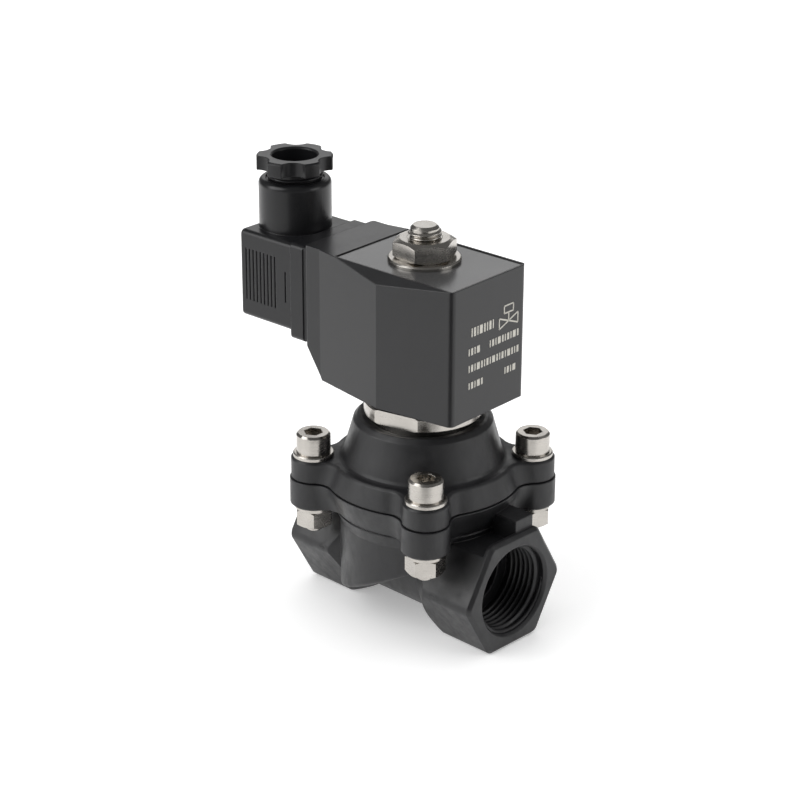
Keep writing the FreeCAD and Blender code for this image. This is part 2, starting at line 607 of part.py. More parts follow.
def make_coil_housing():
    piece = Piece("coil_housing")
    outline = [("coil_front", "-coil_front_half"), ("coil_front", "coil_front_half"),
               ("coil_mid", "coil_mid_half"), ("coil_rear", "coil_pad_half"),
               ("coil_pad", "coil_pad_half"), ("coil_pad", "-coil_pad_half"),
               ("coil_rear", "-coil_pad_half"), ("coil_mid", "-coil_mid_half")]
    sketch = piece.corners(piece.sketch("XY_Plane", ("0", "0", "coil_bottom")), outline)
    piece.extruded(sketch, "coil_top - coil_bottom")
    front, pad = value("coil_front"), value("coil_pad")
    piece.dressed("Fillet", "coil_edge_radius",
                  lambda edge: is_upright(edge) and middle(edge).x > front - 1)
    piece.dressed("Fillet", "coil_edge_radius / 2",
                  lambda edge: is_upright(edge) and middle(edge).x < pad + 1)
    # shoulders that fall from the top plate to the widest corners
    slope = "(coil_top - facet_bottom) / (coil_mid_half - coil_front_half)"
    sketch = piece.sketch("YZ_Plane", ("0", "0", "coil_front + 5"))
    for side in ("", "-"):
        inner, outer = side + "coil_front_half", side + "(coil_mid_half + 4)"
        piece.corners(sketch, [(inner, "coil_top"), (outer, f"facet_bottom - 4 * {slope}"),
                               (outer, "coil_top + 1"), (inner, "coil_top + 1")])
    piece.extruded(sketch, "coil_front - coil_pad + 10", cut=True)
    # slanted underside below the plug face
    sketch = piece.sketch("XZ_Plane", ("0", "0", "coil_mid_half + 1"))
    piece.corners(sketch, [
        ("chamfer_start", "coil_bottom"), ("coil_pad", "plug_face_bottom"),
        ("coil_pad - 2", "plug_face_bottom"), ("coil_pad - 2", "coil_bottom - 2"),
        ("chamfer_start", "coil_bottom - 2")])
    piece.extruded(sketch, "2 * coil_mid_half + 2", cut=True)
    piece.post("0", "0", "coil_bore", ("coil_bottom", "coil_top"), cut=True)
    piece.post("0", "0", "coil_cavity",
               ("coil_bottom + yoke_thickness", PLATE_TOP + " - yoke_thickness"), cut=True)
    yoke_blocks(piece, "coil_top", "plate_seam", cut=True)
    blades(piece, "0", "coil_pad", "blade_root", cut=True)
    thread_end = "coil_pad + insert_thread_end"
    piece.turned([("coil_pad", "0"), ("coil_pad", "plug_screw_radius + fit_gap"),
                  (thread_end, "plug_screw_radius + fit_gap"), (thread_end, "0")],
                 axis="H_Axis", at=("0", "plug_axis", "0"), cut=True)


def make_coil_core():
    yoke = Piece("coil_yoke")
    yoke_blocks(yoke, PLATE_TOP, "0", cut=False)
    yoke.post("0", "0", "coil_bore", ("coil_bottom", "coil_top"), cut=True)
    low, high = "coil_bottom + yoke_thickness", PLATE_TOP + " - yoke_thickness"
    thick = "bobbin_flange_thickness"
    bobbin = Piece("bobbin")
    bobbin.turned([
        ("coil_bore", low), ("bobbin_flange", low), ("bobbin_flange", f"{low} + {thick}"),
        ("bobbin_wall", f"{low} + {thick}"), ("bobbin_wall", f"{high} - {thick}"),
        ("bobbin_flange", f"{high} - {thick}"), ("bobbin_flange", high), ("coil_bore", high)])
    ring_piece("winding", "bobbin_wall", "winding_radius", f"{low} + {thick}", f"{high} - {thick}")
    blades(Piece("terminals"), "0", "blade_tip", "blade_root")


def side_slots(piece, x, z, count):
    """Shallow upright slots in both flanks of the plug."""
    sketch = piece.sketch("XY_Plane", ("0", "0", z[0]))
    for side in ("", "-"):
        inner, outer = side + "(plug_half - slot_depth)", side + "(plug_half + 1)"
        piece.corners(sketch, [(x, inner), (f"{x} + slot_width", inner),
                               (f"{x} + slot_width", outer), (x, outer)])
    slot = piece.extruded(sketch, f"({z[1]}) - ({z[0]})", cut=True, reverse=True)
    if count > 1:
        piece.row(slot, f"slot_pitch * {count - 1}", count)


def make_plug_housing():
    piece = Piece("connector_housing")
    piece.block(("plug_rear", "skirt_rear"), ("-plug_half", "plug_half"),
                ("plug_bottom", "plug_top"))
    piece.block(("skirt_rear", "gasket_rear"), ("-skirt_half", "skirt_half"),
                ("skirt_bottom", "skirt_top"))
    piece.dressed("Fillet", "plug_corner", along_x)
    rear = value("plug_rear")
    piece.dressed("Fillet", "plug_corner / 2", lambda edge: edge.BoundBox.XMax < rear + 0.01)
    piece.post("gland_axis", "0", "gland_outer", ("plug_top - 2", "gland_shoulder"))
    shoulder = value("gland_shoulder")
    piece.dressed("Fillet", "gland_edge", lambda edge: edge.BoundBox.ZMin > shoulder - 0.01)
    piece.block(("plug_rear + plug_rear_wall", "gasket_rear"),
                ("-plug_half + plug_wall", "plug_half - plug_wall"),
                ("plug_bottom + plug_wall", "plug_top - plug_wall"), cut=True)
    piece.post("gland_axis", "0", "gland_floor_hole", ("plug_top - plug_wall", "gland_floor"),
               cut=True)
    piece.post("gland_axis", "0", "gland_thread", ("gland_floor", "gland_shoulder"), cut=True)
    side_slots(piece, "plug_rear + slot_row_start",
               ("plug_bottom + slot_low", "plug_bottom + slot_high"), 9)
    side_slots(piece, "skirt_rear - latch_slot_start",
               ("plug_bottom + latch_slot_low", "plug_bottom + latch_slot_high"), 1)
    seat = "plug_rear + plug_screw_head_depth + screw_seat_gap"
    piece.turned([("plug_rear", "0"), ("plug_rear", "plug_screw_head + screw_seat_gap"),
                  (seat, "plug_screw_head + screw_seat_gap"), (seat, "plug_screw_radius + loose_gap"),
                  ("plug_rear + plug_rear_wall", "plug_screw_radius + loose_gap"),
                  ("plug_rear + plug_rear_wall", "0")],
                 axis="H_Axis", at=("0", "plug_axis", "0"), cut=True)


def make_plug_inside():
    half, low = "(plug_half - plug_wall - loose_gap)", "plug_bottom + plug_wall + loose_gap"
    high, face = "plug_top - plug_wall - loose_gap", "gasket_rear"
    insert = Piece("terminal_insert")
    insert.block(("insert_rear", face), ("-" + half, half), (low, high))
    blades(insert, "loose_gap", "blade_tip - 3 * loose_gap", face, cut=True)
    insert.turned([("insert_rear", "0"), ("insert_rear", "plug_screw_radius + loose_gap"),
                   (face, "plug_screw_radius + loose_gap"), (face, "0")],
                  axis="H_Axis", at=("0", "plug_axis", "0"), cut=True)
    screws = Piece("terminal_screws")
    rise = "plug_axis + terminal_screw_rise"
    for y, z in (("terminal_screw_offset", rise), ("-terminal_screw_offset", rise),
                 ("0", "plug_axis - terminal_screw_offset")):
        sketch = screws.sketch("YZ_Plane", ("0", "0", "insert_rear - terminal_screw_height"))
        screws.extruded(screws.rings(sketch, [(y, z, "terminal_screw_radius")]),
                        "terminal_screw_height")
    gasket = Piece("connector_gasket")
    gasket.block(("gasket_rear", "coil_pad"),
                 ("-skirt_half + gasket_inset", "skirt_half - gasket_inset"),
                 ("plug_face_bottom + gasket_inset / 2", "skirt_top - gasket_inset"))
    gasket.block(("gasket_rear", "coil_pad"), ("-" + half, half), (low, high), cut=True)
    screw = Piece("connector_screw")
    head = "plug_rear + screw_seat_gap"
    screw.turned([(head, "0"), (head, "plug_screw_head - small_edge"),
                  (head + " + small_edge", "plug_screw_head"),
                  (head + " + plug_screw_head_depth", "plug_screw_head"),
                  (head + " + plug_screw_head_depth", "plug_screw_radius"),
                  ("coil_pad + plug_screw_reach", "plug_screw_radius"),
                  ("coil_pad + plug_screw_reach", "0")],
                 axis="H_Axis", at=("0", "plug_axis", "0"))
    screw.block((head, head + " + screw_slot_depth"), ("-plug_screw_head", "plug_screw_head"),
                ("plug_axis - screw_slot_half", "plug_axis + screw_slot_half"), cut=True)


def gland_ring(label, inner, outer, low, high):
    """A ring about the cable gland's axis."""
    piece = Piece(label)
    piece.turned([(inner, low), (outer, low), (outer, high), (inner, high)],
                 at=("gland_axis", "0", "0"))
    return piece


def make_gland():
    wide = "gland_thread - gland_side_gap"
    gland_ring("gland_seal", "gland_seal_bore", wide, "gland_floor", "gland_seal_top")
    gland_ring("gland_washer", "gland_washer_bore", wide, "gland_seal_top", "gland_washer_top")
    neck = "gland_shoulder - gland_rim"
    nut = gland_ring("gland_nut", "gland_nut_bore", "gland_nut_shank", "gland_washer_top", neck)
    nut.turned([("gland_nut_bore", neck), ("gland_root", neck),
                ("gland_root", "gland_head_bottom"), ("gland_head_radius", "gland_head_bottom"),
                ("gland_head_radius", "gland_head_top - gland_rim"),
                ("gland_head_radius - gland_rim", "gland_head_top"),
                ("gland_nut_bore + gland_rim", "gland_head_top"),
                ("gland_nut_bore", "gland_head_top - gland_rim")], at=("gland_axis", "0", "0"))
    sketch = nut.sketch("XY_Plane", ("gland_axis", "0", "gland_head_bottom"))
    scallops = []
    for step in range(6):
        angle = f"(gland_turn + {60 * step})"
        scallops.append((f"gland_scallop_centre * cos{angle}",
                         f"gland_scallop_centre * sin{angle}", "gland_scallop"))
    nut.extruded(nut.rings(sketch, scallops), "gland_head_top - gland_head_bottom", cut=True,
                 reverse=True)


def make_flange_hardware():
    corner = ("bolt_spacing / 2", "0", "bolt_spacing / 2")
    screws = Piece("flange_screws")
    body = screws.turned([
        ("0", "screw_tip"), ("screw_root - tip_edge", "screw_tip"),
        ("screw_root", "screw_tip + tip_edge"),
        ("screw_root", "flange_nut_bottom"), ("screw_radius", "flange_nut_bottom"),
        ("screw_radius", "washer_top"), ("screw_head", "washer_top"),
        ("screw_head", "screw_head_top - head_edge"), ("screw_head - head_edge", "screw_head_top"),
        ("0", "screw_head_top")], at=corner)
    sketch = screws.sketch("XY_Plane", ("0", "0", "screw_head_top"))
    screws.hexagon(sketch, "screw_socket", "bolt_spacing / 2", "-bolt_spacing / 2", "0")
    socket = screws.extruded(sketch, "screw_socket_depth", cut=True)
    screws.around([body, socket], 4)
    washers = Piece("flange_washers")
    ring = washers.turned([
        ("screw_radius + fit_gap", "bonnet_flange_top"), ("washer_outer", "bonnet_flange_top"),
        ("washer_outer", "washer_top - washer_edge"), ("washer_outer - washer_edge", "washer_top"),
        ("screw_radius + fit_gap", "washer_top")], at=corner)
    washers.around([ring], 4)
    nut_top = "body_flange_bottom - lock_washer_thickness"
    locks = Piece("lock_washers")
    ring = locks.turned([
        ("screw_radius + fit_gap", nut_top), ("lock_washer_outer", nut_top),
        ("lock_washer_outer", "body_flange_bottom"),
        ("screw_radius + fit_gap", "body_flange_bottom")], at=corner)
    locks.around([ring], 4)
    nuts = Piece("flange_nuts")
    sketch = nuts.sketch("XY_Plane", ("0", "0", "flange_nut_bottom"))
    nuts.hexagon(sketch, "flange_nut_flats", "bolt_spacing / 2", "-bolt_spacing / 2",
                 "flange_nut_turn")
    nut = nuts.extruded(sketch, f"{nut_top} - flange_nut_bottom")
    bevel = nuts.turned([
        ("flange_nut_flats / 2", "flange_nut_bottom"), ("flange_nut_flats", "flange_nut_bottom"),
        ("flange_nut_flats", "flange_nut_bottom + flange_nut_flats / 2 * tan(30)")],
        at=corner, cut=True)
    upper = nuts.turned([
        ("flange_nut_flats / 2", nut_top), ("flange_nut_flats", nut_top),
        ("flange_nut_flats", f"{nut_top} - flange_nut_flats / 2 * tan(30)")],
        at=corner, cut=True)
    bore = nuts.post("bolt_spacing / 2", "-bolt_spacing / 2", "screw_radius + fit_gap",
                     ("flange_nut_bottom", nut_top), cut=True)
    nuts.around([nut, bevel, upper, bore], 4)


def make_coil_hardware():
    low = PLATE_TOP + " + coil_washer_thickness"
    high = low + " + coil_nut_height"
    washer = Piece("coil_washer")
    washer.turned([("stud_radius + fit_gap", PLATE_TOP), ("coil_washer_outer", PLATE_TOP),
                   ("coil_washer_outer", low + " - small_edge"),
                   ("coil_washer_outer - small_edge", low),
                   ("stud_radius + fit_gap", low)])
    nut = Piece("coil_nut")
    sketch = nut.sketch("XY_Plane", ("0", "0", low), turn="coil_nut_turn")
    nut.hexagon(sketch, "coil_nut_flats")
    nut.extruded(sketch, "coil_nut_height")
    for face, sign, start in ((high, "-", "coil_nut_face"), (low, "+", "coil_nut_flats / 2")):
        nut.turned([(start, face), ("coil_nut_flats", face),
                    ("coil_nut_flats", f"{face} {sign} (coil_nut_flats - {start}) * tan(30)")],
                   cut=True)
    nut.post("0", "0", "stud_radius + fit_gap", (low, high), cut=True)


make_valve_body()
make_bonnet()
make_o_ring()
make_diaphragm()
make_diaphragm_set()
make_spring("diaphragm_spring", "diaphragm_coil", "diaphragm_wire",
            "seat_top + disc_thickness + upper_plate_thickness", "spring_ceiling", 4)
make_plunger()
make_spring("plunger_spring", "plunger_coil", "plunger_wire", "spring_bore_bottom",
            "core_bore_top", 9)
make_fixed_core()
make_armature_tube()
ring_piece("coil_seat_ring", "tube_outer + fit_gap", "seat_ring_outer", "base_top", "coil_bottom")
make_coil_housing()
make_coil_core()
make_plug_housing()
make_plug_inside()
make_gland()
make_flange_hardware()
make_coil_hardware()
ON_THE_COIL = ("coil_", "bobbin", "winding", "terminal", "connector_", "gland_")
ROUND_THE_STEM = ("coil_seat_ring", "coil_washer", "coil_nut")
for piece in pieces:
    if piece.label.startswith(ON_THE_COIL) and piece.label not in ROUND_THE_STEM:
        set_turned(piece)
doc.recompute()

for obj in doc.Objects:
    if "Invalid" in obj.State or "Error" in obj.State:
        raise RuntimeError(f"{obj.Label} did not compute: {obj.State}")
os.makedirs("parts", exist_ok=True)
for piece in pieces:
    shape = piece.body.Shape
    if shape.isNull() or not shape.isValid() or not shape.Solids:
        raise RuntimeError(f"{piece.label} has no valid solid")
    shape.exportStep(f"parts/{piece.label}.step")
    print(f"{piece.label}: {len(shape.Solids)} solid(s), {shape.Volume:.0f} mm3")
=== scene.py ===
import itertools
import json
import math

import bpy
from mathutils import Matrix, Vector


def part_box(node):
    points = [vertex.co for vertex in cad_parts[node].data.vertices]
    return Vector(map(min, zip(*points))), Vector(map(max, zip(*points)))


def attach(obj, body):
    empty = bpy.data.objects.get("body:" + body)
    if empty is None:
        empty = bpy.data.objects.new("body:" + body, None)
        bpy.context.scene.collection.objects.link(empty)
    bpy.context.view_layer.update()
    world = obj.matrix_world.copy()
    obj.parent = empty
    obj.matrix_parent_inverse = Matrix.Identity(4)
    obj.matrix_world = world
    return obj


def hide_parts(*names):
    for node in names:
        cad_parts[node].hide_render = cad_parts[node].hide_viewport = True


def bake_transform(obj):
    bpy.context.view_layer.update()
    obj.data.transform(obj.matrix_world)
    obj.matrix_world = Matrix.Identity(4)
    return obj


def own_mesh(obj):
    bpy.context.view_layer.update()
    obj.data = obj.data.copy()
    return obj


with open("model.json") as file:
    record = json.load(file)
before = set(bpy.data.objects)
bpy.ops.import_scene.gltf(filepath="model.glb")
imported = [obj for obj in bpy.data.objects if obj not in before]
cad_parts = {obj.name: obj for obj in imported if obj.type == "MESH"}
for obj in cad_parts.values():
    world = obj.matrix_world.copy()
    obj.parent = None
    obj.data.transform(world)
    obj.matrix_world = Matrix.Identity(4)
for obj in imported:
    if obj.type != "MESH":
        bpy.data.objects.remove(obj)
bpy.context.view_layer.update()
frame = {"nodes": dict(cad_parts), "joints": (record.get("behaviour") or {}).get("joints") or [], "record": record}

MM = 0.001

# ---------------------------------------------------------------- camera, floor and light

CAMERA_PLACE = Vector((435.3, -460.2, 322.1)) * MM
CAMERA_TARGET = Vector((-9.4, 0.0, 45.7)) * MM
CAMERA_ROLL = math.radians(0.23)
CAMERA_LENS = 107.7
FLOOR_HALF = 12.0
FLOOR_GLOW = 0.3           # the floor is a lit table, so that shadows on it stay faint
FLOOR_COLOR = (0.93, 0.93, 0.93)
CARD_COLOR = (0.02, 0.02, 0.02)
CARD_NEAR, CARD_FAR = (0.15, 0.09), (0.75, 0.35)    # metres before the object, half width
CARD_RISE = 1.0 * MM
WORLD_STRENGTH = 0.15
LIT_POINT = Vector((0.0, 0.0, 0.06))
AREA_LIGHT_SHARE = 4.0     # watts for one square metre of area light at a radiance of one
# soft lights over and behind the object: metres beyond it and above it, size and radiance
OVERHEAD_AWAY, OVERHEAD_RISE, OVERHEAD_SIZE, OVERHEAD_RADIANCE = 0.3, 0.5, (1.3, 1.1), 0.85
PANEL_AWAY, PANEL_RISE, PANEL_SIZE, PANEL_RADIANCE = 0.9, 0.42, (0.8, 0.4), 0.85
# soft lights beside the object: name, place, size and radiance
STRIPS = (("strip_left", (-0.5, -0.62, 0.35), (0.22, 0.8), 1.1),
          ("strip_right", (0.75, 0.35, 0.35), (0.5, 0.5), 1.6))
KEY_PLACE, KEY_POWER, KEY_SPREAD = (-0.45, -1.0, 0.75), 1.45, math.radians(50.0)


def look_at(place, target):
    """A placing matrix whose -Z axis points from place to target."""
    aim = (Vector(target) - Vector(place)).to_track_quat("-Z", "Y").to_matrix().to_4x4()
    return Matrix.Translation(Vector(place)) @ aim


def add_camera():
    data = bpy.data.cameras.new("camera")
    data.lens = CAMERA_LENS
    data.sensor_width = 36.0
    data.clip_start = 0.01
    camera = bpy.data.objects.new("camera", data)
    bpy.context.scene.collection.objects.link(camera)
    camera.matrix_world = look_at(CAMERA_PLACE, CAMERA_TARGET) @ Matrix.Rotation(CAMERA_ROLL, 4, "Z")
    bpy.context.scene.camera = camera


def mesh_object(name, vertices, faces, smooth=False):
    mesh = bpy.data.meshes.new(name)
    mesh.from_pydata([tuple(v) for v in vertices], [], faces)
    mesh.validate()
    if smooth:
        mesh.polygons.foreach_set("use_smooth", [True] * len(mesh.polygons))
    piece = bpy.data.objects.new(name, mesh)
    bpy.context.scene.collection.objects.link(piece)
    return piece


def add_floor():
    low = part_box("valve_body")[0].z
    half = FLOOR_HALF
    floor = mesh_object("floor", [(-half, -half, low), (half, -half, low), (half, half, low),
                                  (-half, half, low)], [(0, 1, 2, 3)])
    paper = plain_material("floor_paper", FLOOR_COLOR, 0.7)
    glow = paper.node_tree.nodes["Principled BSDF"]
    glow.inputs["Emission Color"].default_value = (1.0, 1.0, 1.0, 1.0)
    glow.inputs["Emission Strength"].default_value = FLOOR_GLOW
    floor.data.materials.append(paper)


def add_light(kind, name, place, target, power, **settings):
    data = bpy.data.lights.new(name, kind)
    data.energy = power
    for key, setting in settings.items():
        setattr(data, key, setting)
    light = bpy.data.objects.new(name, data)
    bpy.context.scene.collection.objects.link(light)
    light.matrix_world = look_at(place, target)
    light.visible_camera = False
    return light


def add_softbox(name, place, target, size, radiance):
    """A rectangular soft light, given by its radiance in place of its power."""
    width, height = size
    power = AREA_LIGHT_SHARE * width * height * radiance
    return add_light("AREA", name, place, target, power, shape="RECTANGLE", size=width,
                     size_y=height)


def add_dark_card(away):
    """A black card under the camera, seen only in reflections: it darkens what faces the camera."""
    side = away.cross(Vector((0.0, 0.0, 1.0)))
    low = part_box("valve_body")[0].z + CARD_RISE
    corners = []
    for (distance, half), signs in ((CARD_NEAR, (-1, 1)), (CARD_FAR, (1, -1))):
        corners += [sign * half * side - distance * away for sign in signs]
    card = mesh_object("dark_card", [(c.x, c.y, low) for c in corners], [(0, 1, 2, 3)])
    card.data.materials.append(plain_material("card_black", CARD_COLOR, 0.8))
    card.visible_camera = False
    card.visible_shadow = False
    card.visible_diffuse = False


def add_studio():
    world = bpy.data.worlds.new("studio")
    world.use_nodes = True
    background = world.node_tree.nodes["Background"]
    background.inputs["Color"].default_value = (1.0, 1.0, 1.0, 1.0)
    background.inputs["Strength"].default_value = WORLD_STRENGTH
    bpy.context.scene.world = world
    away = LIT_POINT - CAMERA_PLACE
    away.z = 0.0
    away.normalize()
    up = Vector((0.0, 0.0, 1.0))
    overhead = LIT_POINT + OVERHEAD_AWAY * away + OVERHEAD_RISE * up
    wide = add_softbox("overhead", overhead, overhead - up, OVERHEAD_SIZE, OVERHEAD_RADIANCE)
    wide.visible_glossy = False
    add_dark_card(away)
    panel = LIT_POINT + PANEL_AWAY * away + PANEL_RISE * up
    add_softbox("back_panel", panel, LIT_POINT, PANEL_SIZE, PANEL_RADIANCE)
    for name, place, size, radiance in STRIPS:
        add_softbox(name, place, LIT_POINT, size, radiance)
    add_light("SUN", "soft_key", KEY_PLACE, LIT_POINT, KEY_POWER, angle=KEY_SPREAD)
    bpy.context.scene.view_settings.view_transform = "Standard"


# ---------------------------------------------------------------- materials

def plain_material(name, color, roughness):
    material = bpy.data.materials.new(name)
    material.use_nodes = True
    shader = material.node_tree.nodes["Principled BSDF"]
    shader.inputs["Base Color"].default_value = (*color, 1.0)
    shader.inputs["Roughness"].default_value = roughness
    return material


# dot product of a face's normal with its rounded normal, where an edge and a flat begin
EDGE_DOT, FLAT_DOT = 0.72, 0.985


class Surface:
    """A procedural material, built up from noise, edges painted lighter as wear and as a painted highlight, and
    bump.
    """

    def __init__(self, name):
        self.material = bpy.data.materials.new(name)
        self.material.use_nodes = True
        self.tree = self.material.node_tree
        self.shader = self.tree.nodes["Principled BSDF"]
        self.place = self.tree.nodes.new("ShaderNodeTexCoord").outputs["Object"]
        self.normal = None

    def add(self, kind, inputs=None, **settings):
        node = self.tree.nodes.new("ShaderNode" + kind)
        for name, setting in settings.items():
            setattr(node, name, setting)
        for name, source in (inputs or {}).items():
            if isinstance(source, bpy.types.NodeSocket):
                self.tree.links.new(source, node.inputs[name])
            else:
                node.inputs[name].default_value = source
        return node

    def noise(self, scale, detail=2.0, stretch=(1.0, 1.0, 1.0), roughness=0.5):
        """Noise between about 0 and 1; 'scale' is in cells per metre."""
        spread = self.add("Mapping", {"Vector": self.place, "Scale": stretch})
        return self.add("TexNoise", {"Vector": spread.outputs["Vector"], "Scale": scale,
                                     "Detail": detail, "Roughness": roughness}).outputs["Fac"]

    def spread(self, source, low, high, start=0.3, end=0.7):
        """Map a value from start..end to low..high."""
        return self.add("MapRange", {"Value": source, "From Min": start, "From Max": end,
                                     "To Min": low, "To Max": high}).outputs["Result"]

    def math(self, operation, first, second=0.0):
        node = self.add("Math", operation=operation)
        for socket, source in zip(node.inputs, (first, second)):
            if isinstance(source, bpy.types.NodeSocket):
                self.tree.links.new(source, socket)
            else:
                socket.default_value = source
        return node.outputs[0]

    def blend(self, factor, first, second):
        """Mix two colours; each is a tuple or a socket."""
        node = self.add("Mix", data_type="RGBA")
        for name, source in (("Factor", factor), ("A", first), ("B", second)):
            socket = next(s for s in node.inputs
                          if s.name == name and s.type == ("VALUE" if name == "Factor" else "RGBA"))
            if isinstance(source, bpy.types.NodeSocket):
                self.tree.links.new(source, socket)
            else:
                socket.default_value = source if name == "Factor" else (*source, 1.0)
        return next(s for s in node.outputs if s.type == "RGBA")

    def edges(self, radius):
        """A mask that is 1 on sharp edges, and the rounded normal that goes with it."""
        bevel = self.add("Bevel", {"Radius": radius}, samples=6)
        face = self.add("NewGeometry").outputs["Normal"]
        dot = self.add("VectorMath", {0: bevel.outputs["Normal"], 1: face},
                       operation="DOT_PRODUCT").outputs["Value"]
        self.normal = bevel.outputs["Normal"]
        return self.spread(dot, 1.0, 0.0, EDGE_DOT, FLAT_DOT)

    def bump(self, height, strength, distance):
        inputs = {"Height": height, "Strength": strength, "Distance": distance}
        if self.normal is not None:
            inputs["Normal"] = self.normal
        self.normal = self.add("Bump", inputs).outputs["Normal"]

    def finish(self, color, roughness, **fixed):
        for name, source in (("Base Color", color), ("Roughness", roughness), ("Normal", self.normal)):
            if isinstance(source, bpy.types.NodeSocket):
                self.tree.links.new(source, self.shader.inputs[name])
            elif source is not None:
                self.shader.inputs[name].default_value = source
        for name, setting in fixed.items():
            self.shader.inputs[name.replace("_", " ")].default_value = setting
        return self.material


def shade(color, factor):
    return tuple(channel * factor for channel in color)


def moulded_plastic(name, color, roughness, grain, grain_depth, mottle, edge_radius, wear_and_highlight_gain,
                    specular):
    """Moulded plastic: fine grain, faint flow marks, and slightly polished edges painted paler, partly as wear and
    partly as a painted highlight.
    """
    surface = Surface(name)
    edge = surface.edges(edge_radius)
    patches = surface.spread(surface.noise(110.0, 4.0), 0.0, 1.0)
    streaks = surface.spread(surface.noise(260.0, 3.0, (1.0, 1.0, 0.18)), 0.0, 1.0)
    tone = surface.blend(patches, shade(color, 1.0 - mottle), shade(color, 1.0 + mottle))
    tone = surface.blend(surface.math("MULTIPLY", streaks, 0.3), tone, shade(color, 1.0 + 2.0 * mottle))
    # edges painted paler: partly wear, partly a painted highlight standing in for light on the rounded edge
    edge_wear_and_highlight = surface.math("MULTIPLY", edge, surface.spread(surface.noise(600.0, 3.0), 0.1, 0.8))
    tone = surface.blend(edge_wear_and_highlight, tone, shade(color, wear_and_highlight_gain))
    surface.bump(surface.noise(grain, 2.0), 0.35, grain_depth)
    surface.bump(surface.noise(90.0, 2.0), 0.25, 6.0 * grain_depth)
    blotches = surface.spread(surface.noise(420.0, 5.0, (1.0, 1.0, 0.5), 0.65), 0.0, 1.0)
    uneven = surface.math("MULTIPLY", surface.math("ADD", patches, blotches), 0.5)
    rough = surface.spread(uneven, roughness - 0.3 * mottle, roughness + 0.3 * mottle, 0.2, 0.8)
    rough = surface.math("SUBTRACT", rough, surface.math("MULTIPLY", edge_wear_and_highlight, 0.08))
    return surface.finish(tone, rough, Specular_IOR_Level=specular)


def turned_steel(name, color, roughness, stretch):
    """Bright metal with fine machining lines, handling marks, and edges painted lighter, partly as wear and partly
    as a painted highlight.
    """
    surface = Surface(name)
    edge = surface.edges(0.15 * MM)
    lines = surface.noise(900.0, 3.0, stretch, 0.6)
    smear = surface.spread(surface.noise(170.0, 3.0), 0.0, 1.0)
    tone = surface.blend(smear, shade(color, 0.86), color)
    # edges painted lighter: partly wear, partly a painted highlight
    tone = surface.blend(surface.math("MULTIPLY", edge, 0.7), tone, shade(color, 1.12))
    surface.bump(lines, 0.3, 0.02 * MM)
    rough = surface.math("ADD", surface.spread(lines, roughness - 0.05, roughness + 0.07),
                         surface.math("MULTIPLY", smear, 0.06))
    return surface.finish(tone, rough, Metallic=1.0)


def soft_rubber(name, color):
    """Dull rubber with a little dust on it."""
    surface = Surface(name)
    surface.edges(0.1 * MM)
    dust = surface.spread(surface.noise(300.0, 4.0), 0.0, 1.0)
    tone = surface.blend(dust, color, shade(color, 1.6))
    surface.bump(surface.noise(3000.0, 2.0), 0.4, 0.03 * MM)
    return surface.finish(tone, surface.spread(dust, 0.6, 0.75, 0.0, 1.0))


WIRE_PITCH = 0.5236 * MM   # from one turn of the winding to the next


def wound_wire(name, color):
    """Enamelled wire: fine turns about the coil's axis."""
    surface = Surface(name)
    height = surface.add("SeparateXYZ", {"Vector": surface.place}).outputs["Z"]
    turns = surface.math("SINE", surface.math("MULTIPLY", height, 2.0 * math.pi / WIRE_PITCH))
    surface.bump(turns, 0.6, 0.1 * MM)
    tone = surface.blend(surface.spread(surface.noise(400.0), 0.0, 1.0), shade(color, 0.8), color)
    return surface.finish(tone, surface.spread(turns, 0.25, 0.4, -1.0, 1.0), Metallic=1.0)


# slot: colour, roughness, grain in cells per metre, grain depth, mottle, edge radius,
# edge lightening (partly wear, partly painted highlight), specular level
PLASTICS = {
    "nylon_black": ((0.011, 0.011, 0.012), 0.43, 2600.0, 0.04 * MM, 0.35, 0.6 * MM, 3.0, 0.5),
    "coil_black": ((0.014, 0.014, 0.015), 0.3, 2200.0, 0.01 * MM, 0.06, 0.4 * MM, 4.0, 0.45),
    "connector_black": ((0.009, 0.009, 0.010), 0.3, 2200.0, 0.012 * MM, 0.08, 0.4 * MM, 4.0, 0.38),
    "bracket_steel": ((0.045, 0.045, 0.046), 0.22, 1500.0, 0.004 * MM, 0.05, 0.3 * MM, 3.0, 0.6),
    "bobbin_nylon": ((0.6, 0.58, 0.52), 0.5, 2200.0, 0.02 * MM, 0.04, 0.3 * MM, 1.1, 0.5),
    "insert_grey": ((0.2, 0.2, 0.21), 0.5, 2200.0, 0.02 * MM, 0.05, 0.3 * MM, 1.3, 0.5),
}
# slot: colour, roughness, stretch of the machining lines
METALS = {
    "stainless": ((0.52, 0.495, 0.46), 0.2, (0.15, 0.15, 1.0)),
    "brass_bright": ((0.80, 0.60, 0.30), 0.25, (0.2, 0.2, 1.0)),
}
RUBBER_COLOR = (0.015, 0.015, 0.016)
COPPER_COLOR = (0.72, 0.33, 0.16)


def make_finishes():
    """One material for each of the record's material slots."""
    made = {slot: moulded_plastic(slot, *look) for slot, look in PLASTICS.items()}
    made.update({slot: turned_steel(slot, *look) for slot, look in METALS.items()})
    made["seal_rubber"] = soft_rubber("seal_rubber", RUBBER_COLOR)
    made["copper_wire"] = wound_wire("copper_wire", COPPER_COLOR)
    return made


def dress_nodes():
    """Give every CAD node the finish of its material slot."""
    for entry in frame["record"]["subparts"]:
        node = frame["nodes"][entry["node"]]
        node.data.materials.clear()
        node.data.materials.append(finishes[entry["material_slot"]])


def dress(piece, body, slot):
    """A piece made here gets the finish of its slot and rides on a body."""
    piece.data.materials.append(finishes[slot])
    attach(piece, body)
    return piece


# ---------------------------------------------------------------- screw threads

THREAD_STEPS = 48          # straight steps in one turn
THREAD_POINTS = 9          # points across one ridge
THREAD_SHARE = 0.94        # how much of the pitch a ridge covers at its root
THREAD_SINK = 0.04 * MM    # how far the root is sunk into the wall
RUN_OUT = 0.4              # turns over which a ridge fades at each end

